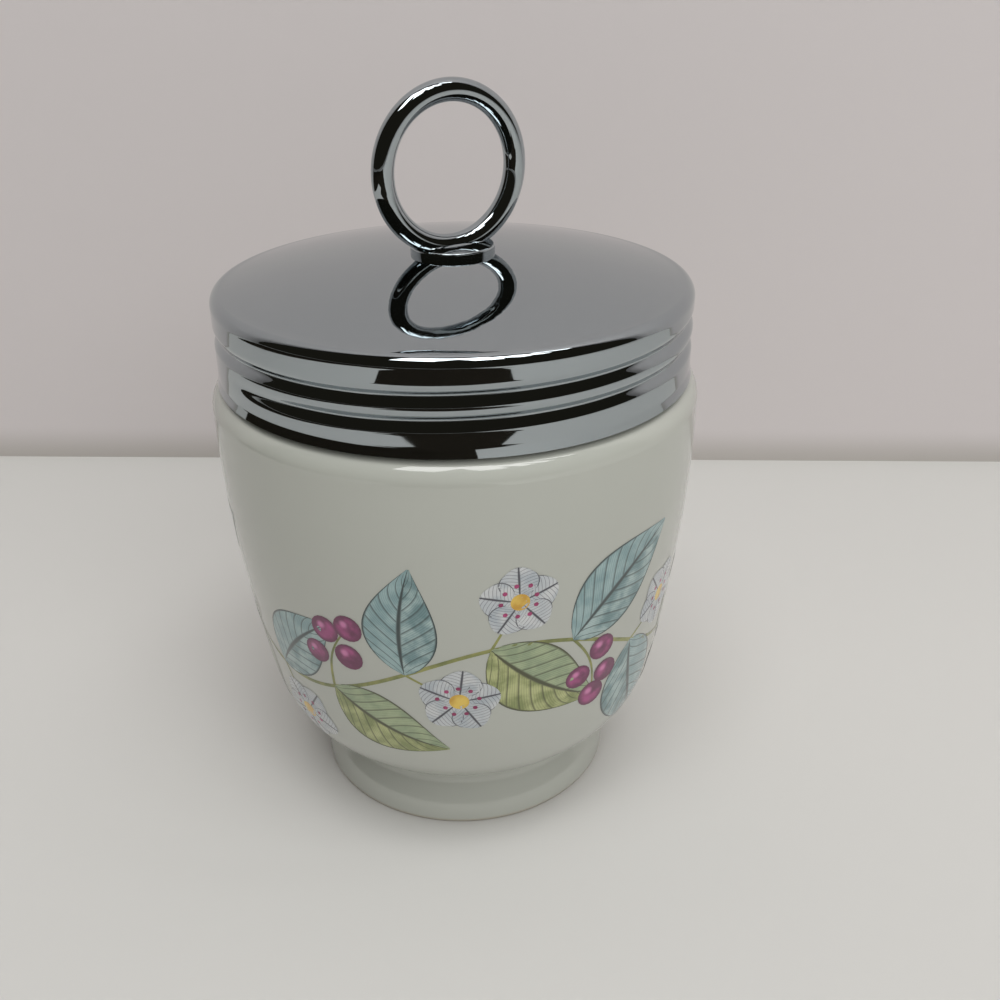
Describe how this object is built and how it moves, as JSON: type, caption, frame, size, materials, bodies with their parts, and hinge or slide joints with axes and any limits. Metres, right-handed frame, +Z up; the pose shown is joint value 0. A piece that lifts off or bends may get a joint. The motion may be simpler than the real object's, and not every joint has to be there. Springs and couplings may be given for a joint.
{
  "type": "egg coddler",
  "caption": "Small footed porcelain cup with a pressed chromed metal lid that screws onto its neck and carries an upright ring handle.",
  "frame": {"origin": "middle of the foot, on the surface that the cup stands on", "axes": "+Z up along the axis of the cup and its screw thread, +X in the plane of the ring handle when the lid is home"},
  "size_m": [0.0666, 0.0666, 0.101],
  "materials": {
    "porcelain": "clear gloss glaze over white porcelain",
    "lid_chrome": "bright chrome plate",
    "handle_chrome": "bright chrome plate",
    "washer_steel": "plain turned"
  },
  "bodies": {
    "cup": {"cup": "porcelain"},
    "lid_carrier": {"backing_washer": "washer_steel"},
    "lid": {"lid_shell": "lid_chrome", "ring_loop": "handle_chrome", "ring_collar": "handle_chrome"}
  },
  "joints": [
    {"name": "lid_lift", "type": "slide", "parent": "cup", "child": "lid_carrier", "axis": [0, 0, 1], "range_m": [0, 0.0135]},
    {"name": "lid_turn", "type": "hinge", "parent": "lid_carrier", "child": "lid", "pos_m": [0, 0, 0.0785], "axis": [0, 0, 1], "range_deg": [0, 1620]}
  ],
  "couplings": [
    {"joint": "lid_lift", "follows": "lid_turn", "m_per_rad": 0.00047746}
  ]
}
